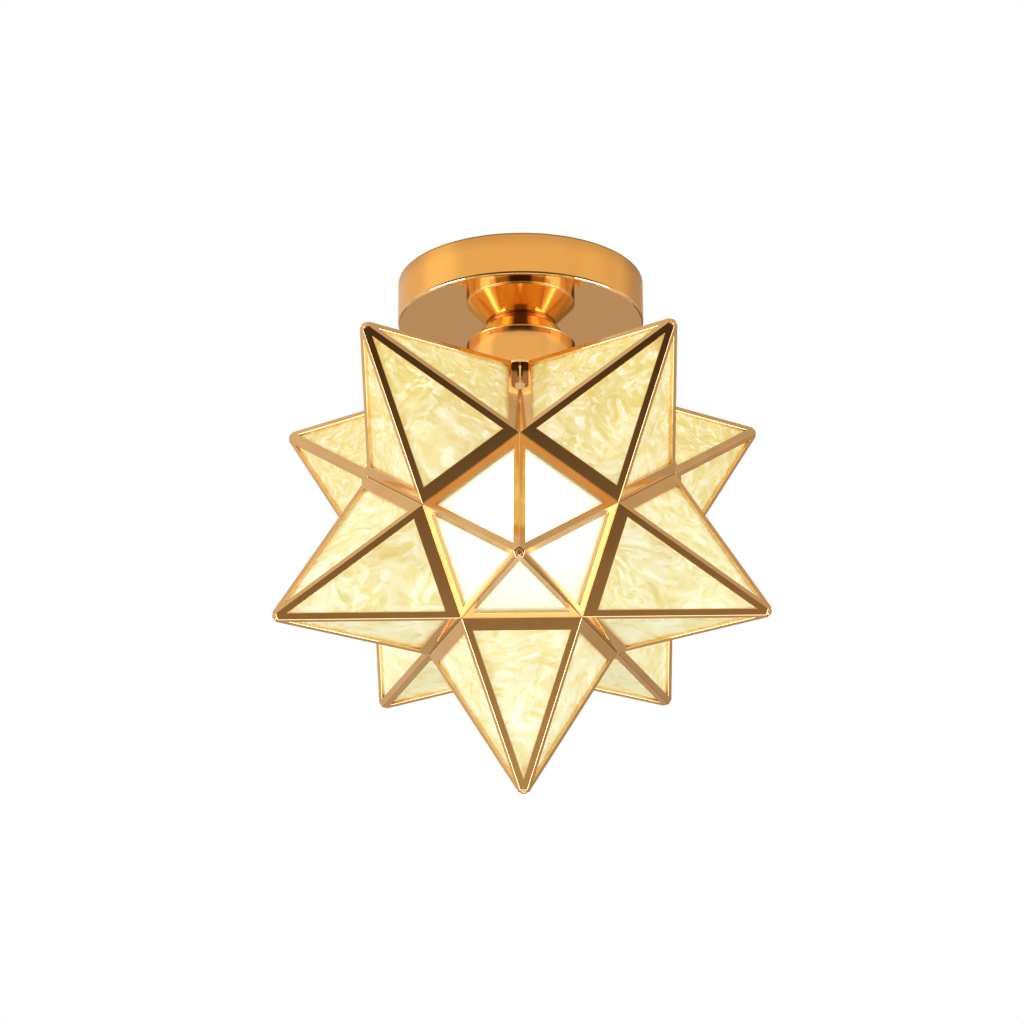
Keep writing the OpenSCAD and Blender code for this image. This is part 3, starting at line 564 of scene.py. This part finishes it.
def round_frame(name, finishes):
    mesh = bmesh.new()
    mesh.from_mesh(nodes[name].data)
    bmesh.ops.remove_doubles(mesh, verts=mesh.verts, dist=WELD_REACH)
    bmesh.ops.dissolve_limit(mesh, angle_limit=FLAT_ANGLE, verts=mesh.verts, edges=mesh.edges)
    outer = outer_faces(mesh)
    if name == SHADED_FRAME:
        for face in outer:
            face.material_index = SHADED if face.normal.z < LOOKS_DOWN else PLAIN
    ridges = []
    for edge in mesh.edges:
        angle = edge.calc_face_angle_signed(0)
        on_outside = len(outer.intersection(edge.link_faces))
        if angle > EDGE_ANGLE and on_outside == 2:
            ridges.append(edge)
        if SQUARE[0] < angle < SQUARE[1] and on_outside == 1:
            wall = next(face for face in edge.link_faces if face not in outer)
            # painted shade on the lip wall beside the glass
            wall.material_index = WALL_SHADE
    round_edges(mesh, ridges, RIDGE_ROUND, RIDGE_STEPS)
    sharp = [edge for edge in mesh.edges if edge.calc_face_angle_signed(0) > EDGE_ANGLE]
    round_edges(mesh, sharp, EDGE_ROUND, EDGE_STEPS)
    for face in mesh.faces:
        face.smooth = False
    data = bpy.data.meshes.new(f"{name}_strips")
    mesh.to_mesh(data)
    mesh.free()
    for finish in finishes:
        data.materials.append(finish)
    strips = bpy.data.objects.new(f"{name}_strips", data)
    bpy.context.scene.collection.objects.link(strips)
    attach(strips, "star")
    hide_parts(name)


# Floor, far below
FLOOR_DROP = 2.4
FLOOR_SIZE = 12.0


def make_floor():
    mesh = bmesh.new()
    bmesh.ops.create_grid(mesh, x_segments=1, y_segments=1, size=FLOOR_SIZE / 2)
    bmesh.ops.translate(mesh, verts=mesh.verts, vec=(0, 0, -FLOOR_DROP))
    data = bpy.data.meshes.new("floor")
    mesh.to_mesh(data)
    mesh.free()
    pale = make_plain((0.8, 0.8, 0.79, 1), (0.82, 0.82, 0.81, 1), 0.7)
    data.materials.append(material("pale_floor", pale))
    floor = bpy.data.objects.new("floor", data)
    bpy.context.scene.collection.objects.link(floor)
    floor.visible_glossy = False
    floor.visible_camera = False


# Lamps: name, azimuth, elevation and power in watts
LAMPS = [
    ("left_lamp", -60, -10, 9),
    ("right_lamp", 60, -5, 6),
]
LAMP_DISTANCE = 1.6
LAMP_SIZE = 0.9


def make_lamp(name, azimuth, elevation, power):
    """A soft lamp that looks at the star's middle."""
    back = direction_from(azimuth, elevation)
    data = bpy.data.lights.new(name, "AREA")
    data.shape = "DISK"
    data.size = LAMP_SIZE
    data.energy = power
    lamp = bpy.data.objects.new(name, data)
    lamp.location = centre + LAMP_DISTANCE * back
    lamp.rotation_mode = "QUATERNION"
    lamp.rotation_quaternion = back.to_track_quat("Z", "Y")
    lamp.visible_glossy = False
    bpy.context.scene.collection.objects.link(lamp)


bpy.context.scene.view_settings.view_transform = "Standard"
make_camera()
make_world()
make_floor()
for lamp in LAMPS:
    make_lamp(*lamp)
brass = finish_nodes()["polished_brass"]
# painted shade for the lip walls
wall_shade_gold = material("wall_shade_gold", make_dark_gold(WALL_SHADE_GOLD, 0.25))
shaded_gold = material("shaded_gold", make_dark_gold(SHADED_GOLD, 0.1))
for name in sorted(nodes):
    if name.startswith("frame_"):
        round_frame(name, (brass, wall_shade_gold, shaded_gold))
